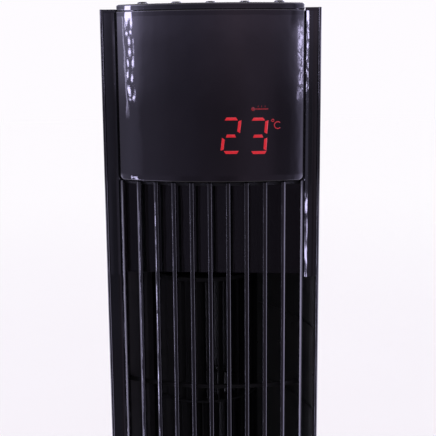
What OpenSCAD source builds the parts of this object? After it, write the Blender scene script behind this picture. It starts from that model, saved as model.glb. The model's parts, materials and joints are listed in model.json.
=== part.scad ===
// Tower fan: a slim column with a cross-flow blower that swings on a round base.
// Millimetres, +Z up, the front faces -Y, and the column swings about the Z axis.

/* [Column] */
// Width of the column across its side wings
column_w = 176; // [175:0.5:178]
// Height of the top of the cap above the floor
column_top = 1000; // [996:1:1010]
// Distance from the swing axis forward to the face of the wings
wing_y = 56; // [55:0.5:58]
// Thickness of the outer shell
shell_t = 2.6; // [2.2:0.1:2.8]
// Thickness of the plates behind the grille
plate_t = 2.2; // [1.8:0.1:2.4]

/* [Bowed front] */
// Radius of the bowed front in plan
front_r = 179.3; // [176:0.1:184]
// How far the middle of the front stands ahead of the wings
front_bow = 17.3; // [16.5:0.1:18]
// Width of the display panel and of the grille
panel_w = 149.4; // [148:0.1:150]
// Height of the display panel
panel_h = 134.6; // [120:0.1:140]
// Thickness of the display panel
panel_t = 2.4; // [2:0.1:2.6]
// Height of the lower panel's top edge above the floor
lower_panel_top = 150.2; // [140:0.1:160]

/* [Front grille] */
// Number of slats between the two rails
slat_count = 9; // [9]
// Distance between the middles of two slats
slat_pitch = 14.72; // [14.6:0.01:14.8]
// Width of a slat's nose
slat_nose = 3.4; // [3:0.1:4.5]
// Depth of a slat from front to back
slat_depth = 14; // [12:0.5:14]
// Height of the cross rib that is level with the second blower joint
rib_level = 684.7; // [680:0.1:690]
// Distance between the cross ribs
rib_pitch = 170; // [168:1:172]

/* [Buttons] */
// Distance between the middles of two buttons
button_pitch = 27.4; // [26:0.1:27.6]
// Radius of a button
button_r = 4.3; // [4:0.1:5]
// Distance from the swing axis forward to the row of buttons
button_y = 46; // [44:1:48]
// How far a button goes down
button_travel = 0.9; // [0.5:0.1:0.9]

/* [Blower] */
// Blower axis: distance to the right of the swing axis
blower_x = -12; // [-13:0.5:-11]
// Blower axis: distance behind the swing axis
blower_y = 4; // [3:0.5:5]
// Radius of the impeller
impeller_r = 48; // [46:0.5:48]
// Number of impeller segments
segment_count = 5; // [5]
// Height of one impeller segment
segment_h = 108; // [108]
// Number of blades in a segment
blade_count = 32; // [24:2:36]
// Radius of the motor shaft
shaft_r = 4; // [4]
// Radius of the upper axle
axle_r = 3; // [3]

/* [Base] */
// Radius of the base
base_r = 150; // [148:1:155]
// Height of the top of the base
base_h = 34; // [34]
// Height of the rubber feet
foot_h = 3; // [3]
// Radius of the bore that takes the supply cord
cord_bore_r = 3.75; // [3.5:0.05:4]
// Height of the cord bore above the floor
cord_z = 11; // [11]

/* [Swing drive] */
// Gear module
gear_m = 1.25; // [1.25]
// Teeth of a full swing gear
gear_teeth = 60; // [60]
// Teeth of the pinion
pinion_teeth = 15; // [15]
// Radius of the hollow spindle
spindle_r = 16; // [16]

/* [Hidden] */
$fn = 96;

gloss_black = [0.05, 0.05, 0.06];
satin_black = [0.09, 0.09, 0.10];
dark_grey = [0.16, 0.16, 0.17];
steel = [0.72, 0.73, 0.75];
rubber_black = [0.07, 0.07, 0.07];
board_green = [0.08, 0.30, 0.16];
led_red = [0.90, 0.10, 0.12];
copper = [0.72, 0.40, 0.22];
natural_plastic = [0.88, 0.87, 0.83];

gap = 0.1;                           // assembly gap between parts of one body
clear = 0.3;                         // clearance round neighbouring parts
run_gap = 0.05;                      // radial clearance of a running fit
seam = 0.6;                          // seam between visible covers
overrun = 1;                         // how far a cutter reaches past what it cuts

// Plan of the column
shell_r = column_w / 2;
shell_in = shell_r - shell_t;
front_y = -(wing_y + front_bow);
bow_y = front_y + front_r;           // middle of the front's arc
bow_sides = 360;
panel_back = -46;                    // back edge of the panels' sides
recess_y = -44;                      // face of the plates behind the slats
recess_back = recess_y + plate_t;
fold_x = 79.8;                       // where a wing starts to fold back
fold_w = 4.6;                        // the fold is a quarter of an ellipse
fold_d = 2;
wing_root = fold_x - fold_w;         // side of the recess behind the slats
cap_side = panel_w / 2 + 0.2;        // half the width of the cap's opening

// Heights of the column
casing_z0 = 62;
casing_z1 = column_top - 3.7;
shoulder_t = 2.5;
cap_z = column_top - 4.4;            // underside of the cap
panel_z1 = cap_z - 0.8;
panel_z0 = panel_z1 - panel_h;
deck_z = 222;
deck_t = 4;
deck_top = deck_z + deck_t;          // the duct's mouth starts here
top_plate_z = 779.6;                 // and ends here
top_plate_t = 3;
top_plate_top = top_plate_z + top_plate_t;
window_z0 = 244;                     // the intake window in the casing
window_z1 = 768;
window_a0 = 28;
window_a1 = 152;

// Fixings
screw_r = 1.5;
thread_r = screw_r + 0.1;            // hole that a screw bites into
hole_r = screw_r + 0.2;              // hole that a screw passes through
screw_angles = [16, 164];            // where the casing's screws are, round the column
screw_levels = [casing_z0 + 5.5, deck_z - 5, top_plate_top + 5];
block_x = 70;                        // inner end of the blocks that take those screws
block_half = 6;
block_h = 11;

// Blower
segment_z0 = 233;
impeller_z1 = segment_z0 + segment_count * segment_h;
disc_t = 2;
blade_in = impeller_r - 10.5;
blade_out = impeller_r - 0.4;
blade_half = 0.55;                   // half of a blade's thickness
blade_lean = -9;                     // degrees from root to tip
blower_at = [blower_x, blower_y];
hub_t = 1.5;
end_cap_t = 1.4;
bearing_r = 6.9;
seat_r = 8.95;

// Duct
duct_z0 = deck_top + gap;
duct_z1 = top_plate_z - gap;
scroll_t = 2.2;
scroll_r = impeller_r + 5;           // the scroll's radius where it is nearest
scroll_a0 = 42;                      // where the scroll starts, in degrees
scroll_end = [84.0, -54.5];          // where the scroll meets the front
scroll_power = 2.6;
scroll_steps = 22;
scroll_span = scroll_end - blower_at;
scroll_a1 = atan2(scroll_span[1], scroll_span[0]);
ring_level = rib_level - 20.1;       // height of one groove ring in the scroll
ring_pitch = 72;
ring_h = 3.6;
tongue_line = [                      // the tongue's face; its tip hides the impeller's left edge
    [-wing_root - 1, recess_y + 1], [-66, -38.5], [-58.4, -33.4], [-54.5, -27.5],
    [-59.6, -19.6], [-66, -12], [-shell_in + gap + 1, -6]
];
bearing_boss_r = 12;                 // the top plate's boss round the upper bearing
bearing_boss_h = 11;

// Base
rim_h = 14;                          // height of the base's straight rim
rim_z = 3.4;
dome_r0 = 62;                        // radius of the flat top of the base
cover_t = 2.6;
plate_z = foot_h;
plate_h = 2.4;
plate_top = plate_z + plate_h;
boss_r = 132;                        // circle of the base's screws
foot_ring_r = 128;                   // circle of the feet
foot_r = 9;
foot_bevel = 1.2;
boss_angles = [0:60:300];            // where the base's screws are
post_r = 4.5;                        // posts that take those screws
post_top = 24;
post_hole_top = 18;
plate_r = base_r - 6.5;
ear_post_r = 3;                      // posts under the swing motor's ears
weight_in = 78;                      // the iron ring in the base
weight_out = 122;
weight_top = 13.5;
boss_low = 27.4;                     // lower end of the spindle's bearing
bearing_wall = 4;
bush_r = 5.2;
bush_flange_r = 6.8;

// Swing drive
pinion_y = gear_m * (gear_teeth + pinion_teeth) / 2;
gear_z = 22;
gear_h = 5;
pressure_angle = 25;
backlash = 0.3;
tooth_last = 9;                      // the swing gear keeps teeth -9 to 9
drive_r = 2.5;                       // output shaft of the swing motor
swing_motor_r = 17.5;
swing_motor_y = pinion_y + 8;        // the can sits off the output shaft's axis
swing_motor_z1 = 19.5;
ear_x = 21.5;
ear_t = 1.5;
hub_flange_r = 34;
hub_flange_z = 36;                   // underside of the hub's flange
glide_in = 40;
glide_out = 56;
hub_screw_r = 26;                    // circle of the screws in the flange
gear_screw_r = spindle_r - 2;
gear_screw_angles = [-90, 30, 150];
wire_r = 11.5;                       // hole for the wires through the spindle

// Neck
neck_r = 62;
neck_waist = 9;                      // how much the neck narrows upwards
neck_t = 2.5;
neck_z = base_h + 1.1;
neck_top = 59.5;
neck_floor_z = 40;
neck_floor_t = 2.6;
glide_h = 0.8;

// Motor, under the deck on the blower's axis
motor_r = 43;
motor_t = 2;
motor_z0 = 170;
motor_split = 196;
motor_z1 = 217.5;
bush_h = 8;
motor_bush_r = 7.95;
core_z0 = 184;                       // the stator's and rotor's laminations
core_z1 = 204;
rotor_r = 23.7;
rotor_gap = 0.5;
slot_r = 3.4;                        // the stator's slots
slot_at = 32;
coil_in = 27;
coil_out = 38;
stator_slots = 12;
winding_h = 4.4;
mount_r = 32;                        // circle of the motor mounts
mount_angles = [45:90:315];

// Back of the column
grille_bars = 30;
grille_rings = 8;
grille_bar_t = 1.9;
grille_ring_h = 2.4;
grille_a0 = window_a0 + 0.2;
grille_a1 = window_a1 - 0.2;
grille_out = shell_r - 0.2;
handle_w = 100;
handle_h = 38;
handle_z = 925;
handle_corner = 9;
cup_wall = 4;
cup_y = 57;

// Front grille
nose_corner = 0.8;
slat_tail = 2.2;
rib_back = front_r - slat_depth - 0.4;
rib_h = 3.4;
rib_t = 2.4;
band_h = 3;                          // the bands that end the slats
band_depth = 5;

// Boards and the lead between them
board_t = 1.6;
power_board_y = 58;
harness_r = 3;
harness_sides = 10;
harness_hole = 4.5;
harness_route = [
    [-42, 54.5, 140], [-62, 30, 165], [-78, -14, 195], [-79, -33, 212], [-79, -33, 800],
    [-64, -36, 846], [-50, -38, 880], [-50, -52.1, 880]
];
lead_exit = [-50, 880];              // where the lead passes the plate behind the panel

// Head
button_x = [for (i = [-2:2]) i * button_pitch];
button_flange_r = 6.2;
button_flange_z = cap_z - 1.6;
button_stem_r = 2;
button_rise = 2.4;                   // how far a button stands above the cap
button_bevel = 0.5;
board_z = 984;                       // underside of the control board
switch_body_h = 3.5;
switch_top = board_z + board_t + switch_body_h + 0.8;
plate_cut_z = 978;                   // the plate behind the panel ends here
led_y = -58.8;                       // face of the digits
display_y = -55;                     // face of the display board

// ---------------------------------------------------------------- helpers

module slab(low, high) translate(low) cube(high - low);

module tube(r_in, r_out, z0, z1) translate([0, 0, z0]) difference() {
    cylinder(r = r_out, h = z1 - z0);
    translate([0, 0, -overrun]) cylinder(r = r_in, h = z1 - z0 + 2 * overrun);
}

module rod(r, z0, z1) translate([0, 0, z0]) cylinder(r = r, h = z1 - z0);

module at_blower() translate([blower_x, blower_y, 0]) children();

// A pan-head screw along Z whose head's underside is at z = 0 and whose shank goes down
module screw(shank, head_r = 3, head_h = 1.6) {
    rod(head_r, 0, head_h);
    rod(screw_r, -shank, 0);
}

function unit(v) = v / norm(v);
function side_of(p, i) = let (d = unit(p[min(i + 1, len(p) - 1)] - p[max(i - 1, 0)])) [-d[1], d[0]];
function polar(r, a) = [r * cos(a), r * sin(a)];
function reversed(p) = [for (i = [len(p) - 1:-1:0]) p[i]];

// A wall in plan: a line of points, given a thickness to its left
module wall(p, t) polygon(concat(p, [for (i = [len(p) - 1:-1:0]) p[i] + t * side_of(p, i)]));

// The column's D-shaped plan
module column_outline(inset) {
    r = shell_r - inset;
    intersection() {
        union() {
            circle(r = r);
            translate([-r, -shell_r]) square([2 * r, shell_r]);
        }
        translate([-shell_r, -wing_y]) square([column_w, shell_r + wing_y]);
    }
}

// The cap's plan: bowed in front, round behind
module head_outline(inset) {
    r = cap_side - inset;
    intersection() {
        translate([0, bow_y]) circle(r = front_r - inset, $fn = bow_sides);
        union() {
            circle(r = r);
            translate([-r, -shell_r]) square([2 * r, shell_r]);
        }
    }
}

// The plan of a bowed panel, cut off at its back edge
module panel_outline(inset) intersection() {
    translate([0, bow_y]) circle(r = front_r - inset, $fn = bow_sides);
    translate([-panel_w / 2 + inset, -shell_r]) square([panel_w - 2 * inset, shell_r + panel_back]);
}

// A bowed panel with side flanges and one level flange
module bowed_panel(z0, z1, flange_z) {
    translate([0, 0, z0]) linear_extrude(z1 - z0) difference() {
        panel_outline(0);
        intersection() {
            translate([0, bow_y]) circle(r = front_r - panel_t, $fn = bow_sides);
            translate([-panel_w / 2 + panel_t, -shell_r]) square([panel_w - 2 * panel_t, shell_r]);
        }
    }
    translate([0, 0, flange_z]) linear_extrude(panel_t) panel_outline(gap);
}

// Outline of the right wing, its fold and the side of the recess behind the slats: front face, then back face
wing_front = concat(
    [[shell_in - gap, -wing_y]],
    [for (a = [0:7.5:90]) [fold_x - fold_w * sin(a), -wing_y + fold_d * (1 - cos(a))]]);
wing_back = concat(
    [for (a = [90:-7.5:0])
        [fold_x - (fold_w - plate_t) * sin(a), -wing_y + plate_t + fold_d * (1 - cos(a))]],
    [[shell_in - gap, -wing_y + plate_t]]);

module wing_section() polygon(concat(
    wing_front, [[wing_root, recess_back], [wing_root + plate_t, recess_back]], wing_back));

// Both wings and the plate behind the slats, as one outline
function flipped(pts) = [for (i = [len(pts) - 1:-1:0]) [-pts[i][0], pts[i][1]]];
half_front = concat(wing_front, [[wing_root, recess_y]]);
half_back = concat([[wing_root + plate_t, recess_back]], wing_back);
module plate_section() polygon(concat(half_front, flipped(half_front), flipped(half_back), half_back));

// Plan of the level plates that carry the blower
module level_section() intersection() {
    column_outline(shell_t + clear);
    translate([-shell_r, recess_back + clear]) square([column_w, 2 * shell_r]);
}

// The two blocks that take the casing's screws at one level
module screw_blocks(z0, z1) for (a = screw_angles) rotate(a)
    slab([block_x, -block_half, z0], [shell_in - clear, block_half, z1]);

module block_holes(z) for (a = screw_angles) rotate(a) translate([0, 0, z]) rotate([0, 90, 0])
    rod(thread_r, block_x + 4, shell_r);

module harness_way(z0, z1) translate([harness_route[3][0], harness_route[3][1], 0])
    rod(harness_hole, z0, z1);

// ---------------------------------------------------------------- base

function dome(a, b) = [for (t = [0:5:90]) [dome_r0 + a * cos(t), rim_h + b * sin(t)]];

module base_cover() color(gloss_black) difference() {
    union() {
        rotate_extrude() polygon(concat(
            [[base_r - cover_t, rim_z], [base_r, rim_z]],
            dome(base_r - dome_r0, base_h - rim_h),
            [[spindle_r + run_gap, base_h], [spindle_r + run_gap, boss_low],
             [spindle_r + bearing_wall, boss_low], [spindle_r + bearing_wall, base_h - cover_t]],
            reversed(dome(base_r - cover_t - dome_r0, base_h - rim_h - cover_t))
        ));
        for (a = boss_angles) rotate(a) translate([boss_r, 0, 0]) rod(post_r, plate_top + gap, post_top);
    }
    for (a = boss_angles) rotate(a) translate([boss_r, 0, 0]) rod(thread_r, 0, post_hole_top);
    translate([0, base_r - 12, cord_z]) rotate([-90, 0, 0]) cylinder(r = bush_r + gap, h = 20);
}

module base_plate() color(satin_black) {
    difference() {
        rod(plate_r, plate_z, plate_top);
        for (a = boss_angles) rotate(a) translate([boss_r, 0, 0]) rod(hole_r, 0, plate_top + overrun);
    }
    for (s = [-1, 1]) translate([s * ear_x, swing_motor_y, 0]) difference() {
        rod(ear_post_r, plate_top, swing_motor_z1 - ear_t);
        rod(thread_r, 8, swing_motor_z1);
    }
}

module base_weight() color(dark_grey) tube(weight_in, weight_out, plate_top + 0.2, weight_top);

module base_feet() color(rubber_black)
    for (a = [30:60:330]) rotate(a) translate([foot_ring_r, 0, 0]) rotate_extrude()
        polygon([[0, 0], [foot_r - foot_bevel, 0], [foot_r, foot_bevel], [foot_r, foot_h], [0, foot_h]]);

module base_screws() color(steel) {
    for (a = boss_angles) rotate(a) translate([boss_r, 0, plate_z]) mirror([0, 0, 1]) screw(12);
    for (s = [-1, 1]) translate([s * ear_x, swing_motor_y, swing_motor_z1]) screw(10, 2.8, 1.4);
}

module cord_bush() color(rubber_black) translate([0, 0, cord_z]) rotate([-90, 0, 0]) difference() {
    union() {
        rod(bush_r, base_r - 15, base_r - 0.4);
        rod(bush_flange_r, base_r - 6.3, base_r - 5.1);
    }
    rod(cord_bore_r, base_r - 20, base_r + 5);
}

// ---------------------------------------------------------------- swing drive

module swing_motor() color(steel) difference() {
    ear_z = swing_motor_z1 - ear_t;
    union() {
        translate([0, swing_motor_y, 0]) rod(swing_motor_r, plate_top + 0.2, swing_motor_z1);
        translate([0, pinion_y, 0]) rod(4.6, swing_motor_z1 - overrun, gear_z - 1);
        slab([-ear_x, swing_motor_y - 3.5, ear_z], [ear_x, swing_motor_y + 3.5, swing_motor_z1]);
        for (s = [-1, 1]) translate([s * ear_x, swing_motor_y, 0]) rod(3.5, ear_z, swing_motor_z1);
    }
    for (s = [-1, 1]) translate([s * ear_x, swing_motor_y, 0]) rod(thread_r, 10, 25);
    translate([0, pinion_y, 0]) rod(drive_r + run_gap, 12, 25);
}

module glide_ring() color(natural_plastic) tube(glide_in, glide_out, base_h, base_h + glide_h);

function involute_of(a) = tan(a) * 180 / PI - a;

// Half of a tooth's angle at radius r, for a gear of pitch radius rp
function tooth_half(r, rp) = let (rb = rp * cos(pressure_angle))
    (PI * gear_m / 2 - backlash) / (2 * rp) * 180 / PI + involute_of(pressure_angle)
    - involute_of(acos(min(1, rb / max(r, rb))));

// Outline of a gear with teeth number first to last out of n, the rest plain
function gear_outline(n, first, last, turn) = let (
    rp = gear_m * n / 2,
    radii = [for (k = [0:3]) rp - 1.25 * gear_m + k * 0.75 * gear_m]
) [for (i = [first:last]) each concat(
    [for (r = radii) polar(r, turn + i * 360 / n - tooth_half(r, rp))],
    [for (k = [3:-1:0]) polar(radii[k], turn + i * 360 / n + tooth_half(radii[k], rp))]
)];

module swing_pinion() color(natural_plastic) translate([0, pinion_y, 0]) {
    translate([0, 0, gear_z - 0.5]) linear_extrude(gear_h + 0.5)
        polygon(gear_outline(pinion_teeth, 0, pinion_teeth - 1, -90 + 180 / pinion_teeth));
    rod(drive_r, 14, gear_z);
}

module swing_gear() color(natural_plastic) difference() {
    union() {
        rod(gear_m * (gear_teeth - 2.5) / 2 - 6, gear_z, gear_z + gear_h);
        translate([0, 0, gear_z]) linear_extrude(gear_h)
            polygon(concat([[0, 0]], gear_outline(gear_teeth, -tooth_last, tooth_last, 90)));
    }
    rod(wire_r + 0.5, gear_z - overrun, gear_z + gear_h + overrun);
    for (a = gear_screw_angles) rotate(a) translate([gear_screw_r, 0, 0]) rod(thread_r, 10, 40);
}

module swing_hub() color(dark_grey) difference() {
    union() {
        rod(spindle_r, gear_z + gear_h, hub_flange_z + overrun);
        rod(hub_flange_r, hub_flange_z, neck_floor_z);
    }
    rod(wire_r, 10, 60);
    for (a = gear_screw_angles) rotate(a) translate([gear_screw_r, 0, 0])
        rod(thread_r, gear_z, hub_flange_z);
    for (a = mount_angles) rotate(a) translate([hub_screw_r, 0, 0]) rod(thread_r, 30, 50);
}

module swing_screws() color(steel) {
    for (a = gear_screw_angles) rotate(a) translate([gear_screw_r, 0, gear_z])
        mirror([0, 0, 1]) screw(12, 2.4, 1.4);
    for (a = mount_angles) rotate(a) translate([hub_screw_r, 0, neck_floor_z + neck_floor_t]) screw(6);
}

// ---------------------------------------------------------------- column

// The neck under the column flares down to the base in a quarter curve
function neck_curve(inset) = concat(
    [[neck_r - inset, neck_z], [neck_r - inset, neck_z + 2]],
    [for (a = [0:15:90]) [neck_r - inset - neck_waist * sin(a), neck_top - (22.4 - 4 * sin(a)) * cos(a)]],
    [[neck_r - neck_waist - inset, neck_top + 0.5]]
);

module column_base() color(gloss_black) difference() {
    union() {
        rotate_extrude() polygon(concat(neck_curve(0), reversed(neck_curve(neck_t))));
        rod(56.5, neck_floor_z, neck_floor_z + neck_floor_t);
        translate([0, 0, neck_top]) linear_extrude(casing_z0 - neck_top) column_outline(0);
        screw_blocks(casing_z0 - overrun, casing_z0 + block_h);
    }
    rod(wire_r + 0.5, 30, 50);
    rod(20, 55, 70);
    for (a = mount_angles) rotate(a) translate([hub_screw_r, 0, 0]) rod(hole_r, 30, 50);
    block_holes(screw_levels[0]);
}

module casing_screws() color(steel)
    for (z = screw_levels, a = screw_angles) rotate(a) translate([shell_r - 1, 0, z])
        rotate([0, 90, 0]) screw(9.5);

// The carry handle's opening, along +Y
module handle_hole(y0, y1, inset) {
    w = handle_w - 2 * inset;
    h = handle_h - 2 * inset;
    c = handle_corner - inset;
    slab([-w / 2 + c, y0, handle_z - h / 2], [w / 2 - c, y1, handle_z + h / 2]);
    slab([-w / 2, y0, handle_z - h / 2 + c], [w / 2, y1, handle_z + h / 2 - c]);
    for (sx = [-1, 1], sz = [-1, 1])
        translate([sx * (w / 2 - c), y0, handle_z + sz * (h / 2 - c)]) rotate([-90, 0, 0])
            cylinder(r = c, h = y1 - y0);
}

module rear_casing() color(gloss_black) difference() {
    union() {
        translate([0, 0, casing_z0]) linear_extrude(casing_z1 - casing_z0) {
            difference() {
                column_outline(0);
                circle(r = shell_in);
                translate([-shell_in, -shell_r]) square([2 * shell_in, shell_r]);
            }
            for (s = [-1, 1]) translate([s * (shell_r - shell_t / 2), -wing_y]) circle(r = shell_t / 2);
        }
        translate([0, 0, casing_z1 - shoulder_t]) linear_extrude(shoulder_t) difference() {
            column_outline(0);
            head_outline(-clear);
        }
    }
    rotate(window_a0) translate([0, 0, window_z0]) rotate_extrude(angle = window_a1 - window_a0)
        translate([shell_in - 3, 0]) square([shell_t + 6, window_z1 - window_z0]);
    handle_hole(50, shell_r + overrun, 0);
    for (z = screw_levels, a = screw_angles) rotate(a) translate([0, 0, z]) rotate([0, 90, 0]) {
        rod(hole_r, shell_in - 2, shell_r);
        rod(3.2, shell_r - 1, shell_r + 2);
    }
}

// A level bar that follows the casing's round back
module arc_bar(r1, r2, z0, z1) rotate(grille_a0) translate([0, 0, z0])
    rotate_extrude(angle = grille_a1 - grille_a0) translate([r1, 0]) square([r2 - r1, z1 - z0]);

module rear_grille() color(satin_black) {
    z0 = window_z0 + clear;
    z1 = window_z1 - clear;
    edge = 0.7;                      // degrees from the window's side to the first bar
    step = (grille_a1 - grille_a0 - 2 * edge) / grille_bars;
    for (i = [0:grille_bars]) rotate(grille_a0 + edge + i * step)
        slab([shell_in + 0.3, -grille_bar_t / 2, z0 + 1], [grille_out - 0.3, grille_bar_t / 2, z1 - 1]);
    for (i = [1:grille_rings]) translate([0, 0, z0 + i * (z1 - z0) / (grille_rings + 1)])
        arc_bar(shell_in + 0.7, grille_out - 0.9, -grille_ring_h / 2, grille_ring_h / 2);
    arc_bar(shell_in, grille_out, z0, z0 + 4);
    arc_bar(shell_in, grille_out, z1 - 4, z1);
}

// The plate behind the display panel stops short of the cap's skirt and the control board
module upper_plate() color(gloss_black) difference() {
    z1 = casing_z1 - shoulder_t - gap;
    translate([0, 0, top_plate_z]) linear_extrude(z1 - top_plate_z) plate_section();
    translate([lead_exit[0], recess_y - 5, lead_exit[1]]) rotate([-90, 0, 0]) cylinder(r = 5, h = 12);
    slab([-wing_root, recess_y - overrun, plate_cut_z], [wing_root, recess_back + overrun, z1 + overrun]);
}

module lower_plate() color(gloss_black)
    translate([0, 0, casing_z0 + gap]) linear_extrude(deck_top - casing_z0 - gap) plate_section();

// Plan of a slat, with its nose on y = 0 and its tail behind; its nose is then set along the bow
function slat_outline() = concat(
    [for (a = [180:30:270]) [-slat_nose / 2 + nose_corner, nose_corner] + polar(nose_corner, a)],
    [for (a = [270:30:360]) [slat_nose / 2 - nose_corner, nose_corner] + polar(nose_corner, a)],
    [[slat_tail / 2, slat_depth], [-slat_tail / 2, slat_depth]]
);
function bow_at(x) = bow_y - sqrt(front_r * front_r - x * x);
function bow_slope(x) = x / sqrt(front_r * front_r - x * x);

// A level rib behind the slats' noses, bowed like the front
module bow_rib(r_out, z0, z1) translate([0, 0, z0]) linear_extrude(z1 - z0) intersection() {
    w = panel_w - 2 * panel_t + 1;
    translate([0, bow_y]) difference() {
        circle(r = r_out, $fn = bow_sides);
        circle(r = rib_back, $fn = bow_sides);
    }
    translate([-w / 2, -shell_r]) square([w, shell_r + recess_y - seam]);
}

module front_grille() color(gloss_black) {
    z0 = lower_panel_top + seam;
    z1 = panel_z0 - seam;
    translate([0, 0, z0]) linear_extrude(z1 - z0) {
        for (i = [-(slat_count - 1) / 2:(slat_count - 1) / 2]) let (x = i * slat_pitch)
            translate([x, bow_at(x)]) polygon([for (p = slat_outline()) [p[0], p[1] + p[0] * bow_slope(x)]]);
        intersection() {
            panel_outline(0);
            for (s = [-1, 1]) translate([s * (panel_w / 2 - panel_t / 2), panel_back - 20])
                square([panel_t, 40], center = true);
        }
    }
    for (k = [-3:0]) translate([0, 0, rib_level + k * rib_pitch])
        bow_rib(rib_back + rib_t, -rib_h / 2, rib_h / 2);
    bow_rib(front_r - band_depth, z1 - band_h, z1);
    bow_rib(front_r - band_depth, z0, z0 + band_h);
}

module lower_panel() color(gloss_black)
    bowed_panel(casing_z0 + 0.3, lower_panel_top, lower_panel_top - panel_t);

module handle_cup() color(satin_black) difference() {
    intersection() {
        slab([-handle_w / 2 - cup_wall, cup_y, handle_z - handle_h / 2 - cup_wall],
             [handle_w / 2 + cup_wall, shell_r, handle_z + handle_h / 2 + cup_wall]);
        rod(shell_in - gap, handle_z - handle_h, handle_z + handle_h);
    }
    handle_hole(cup_y + 2.4, shell_r + overrun, 0.2);
}

// ---------------------------------------------------------------- duct

function scroll_point(u) = blower_at + polar(
    scroll_r + (norm(scroll_span) - scroll_r) * pow(u, scroll_power),
    scroll_a0 + (scroll_a1 - scroll_a0) * u);

// The scroll wall, its shallow ring grooves, and the strip that closes the duct behind it
module duct_scroll() color(dark_grey) difference() {
    inner = [for (i = [0:scroll_steps]) scroll_point(i / scroll_steps)];
    back_x = shell_in * cos(window_a0) - seam;
    union() {
        translate([0, 0, duct_z0]) linear_extrude(duct_z1 - duct_z0) intersection() {
            wall(inner, scroll_t);
            translate([-shell_r, -wing_y]) square([shell_r + shell_in - gap, 2 * shell_r]);
        }
        slab([inner[0][0] + 0.4, inner[0][1] - 1.2, duct_z0], [back_x, inner[0][1] + 1, duct_z1]);
    }
    for (k = [-5:1]) translate([0, 0, ring_level + k * ring_pitch - ring_h / 2]) linear_extrude(ring_h)
        wall([for (i = [2:scroll_steps]) inner[i] - 0.6 * side_of(inner, i)], 1.5);
}

// The left wing beside the duct's mouth, the tongue, and the channel for the lead behind it
module duct_tongue() color(gloss_black) translate([0, 0, duct_z0]) linear_extrude(duct_z1 - duct_z0) {
    mirror([1, 0]) wing_section();
    wall(tongue_line, plate_t);
}

module duct_top_plate() color(dark_grey) difference() {
    union() {
        translate([0, 0, top_plate_z]) linear_extrude(top_plate_t) level_section();
        at_blower() rod(bearing_boss_r, top_plate_z, top_plate_z + bearing_boss_h);
        screw_blocks(top_plate_z, top_plate_top + block_h);
    }
    at_blower() rod(seat_r + run_gap, top_plate_z - overrun, top_plate_z + bearing_boss_h + overrun);
    harness_way(top_plate_z - overrun, top_plate_top + overrun);
    block_holes(screw_levels[2]);
}

module motor_deck() color(dark_grey) difference() {
    union() {
        translate([0, 0, deck_z]) linear_extrude(deck_t) level_section();
        screw_blocks(deck_z - block_h, deck_top);
    }
    at_blower() {
        rod(14, deck_z - overrun, deck_top + overrun);
        for (a = mount_angles) rotate(a) translate([mount_r, 0, 0])
            rod(4.1, deck_z - overrun, deck_top + overrun);
    }
    harness_way(deck_z - overrun, deck_top + overrun);
    block_holes(screw_levels[1]);
}

module upper_bearing() color(copper) at_blower()
    tube(axle_r + run_gap, bearing_r, top_plate_z + 1, top_plate_z + 10);

module bearing_seat() color(rubber_black) at_blower()
    tube(bearing_r + run_gap, seat_r, top_plate_z + 0.5, top_plate_z + 10.5);

// ---------------------------------------------------------------- impeller

// Plan of one blade: a thin arc that leans further over towards its tip
function blade_edge(side) = [for (s = [0:0.25:1]) let (r = blade_in + (blade_out - blade_in) * s)
    polar(r, blade_lean * pow(s, 1.8) + side * blade_half / r * 180 / PI)];

module impeller_segment(k) color(dark_grey) at_blower() rotate(k * 180 / blade_count)
    translate([0, 0, segment_z0 + (k - 1) * segment_h]) {
        linear_extrude(segment_h - disc_t) for (i = [0:blade_count - 1])
            rotate(i * 360 / blade_count) polygon(concat(blade_edge(1), reversed(blade_edge(-1))));
        tube(blade_in - 4, impeller_r, segment_h - disc_t, segment_h);
    }

module impeller_end_cap() color(dark_grey) at_blower() difference() {
    union() {
        rod(impeller_r, impeller_z1, impeller_z1 + end_cap_t);
        rod(7, impeller_z1 - 12, impeller_z1);
    }
    rod(axle_r + 0.01, impeller_z1 - 20, impeller_z1 + 5);
}

module impeller_axle() color(steel) at_blower() rod(axle_r, impeller_z1 - 11, top_plate_z + 13);

module impeller_hub() color(dark_grey) at_blower() difference() {
    union() {
        rod(impeller_r, segment_z0 - hub_t, segment_z0);
        rod(9, segment_z0 - 4, segment_z0 + 14);
    }
    rod(shaft_r + 0.01, segment_z0 - 10, segment_z0 + 20);
    translate([0, 0, segment_z0 + 7]) rotate([0, 90, 0]) rod(1.6, 0, 12);
}

module motor_shaft() color(steel) at_blower() rod(shaft_r, motor_z0 - 4, segment_z0 + 12);

module motor_rotor() color(steel) at_blower() tube(shaft_r + 0.01, rotor_r, core_z0, core_z1);

// ---------------------------------------------------------------- motor

module motor_case_upper() color(steel) at_blower() difference() {
    union() {
        tube(motor_r - motor_t, motor_r, motor_split, motor_z1);
        rod(motor_r, motor_z1 - 2.4, motor_z1);
        rod(11, motor_z1 - bush_h, motor_z1);
        for (a = mount_angles) rotate(a) translate([mount_r, 0, 0]) rod(5.5, motor_z1 - 8, deck_z - 2);
    }
    rod(motor_bush_r + run_gap, motor_z1 - 20, motor_z1 + 5);
    for (a = mount_angles) rotate(a) translate([mount_r, 0, 0]) rod(thread_r, core_z1, deck_z + 8);
}

module motor_case_lower() color(steel) at_blower() difference() {
    union() {
        tube(motor_r - motor_t, motor_r, motor_z0, motor_split - gap);
        rod(motor_r, motor_z0, motor_z0 + 2.4);
        rod(11, motor_z0, motor_z0 + bush_h);
    }
    rod(motor_bush_r + run_gap, motor_z0 - 5, motor_z0 + 20);
}

module motor_stator() color(dark_grey) at_blower() difference() {
    tube(rotor_r + rotor_gap, motor_r - motor_t - gap, core_z0, core_z1);
    for (i = [0:stator_slots - 1]) rotate(i * 360 / stator_slots) translate([0, 0, core_z0 - 1]) {
        translate([rotor_r - 0.7, -1, 0]) cube([6, 2, 22]);
        translate([slot_at, 0, 0]) cylinder(r = slot_r, h = 22);
    }
}

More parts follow.
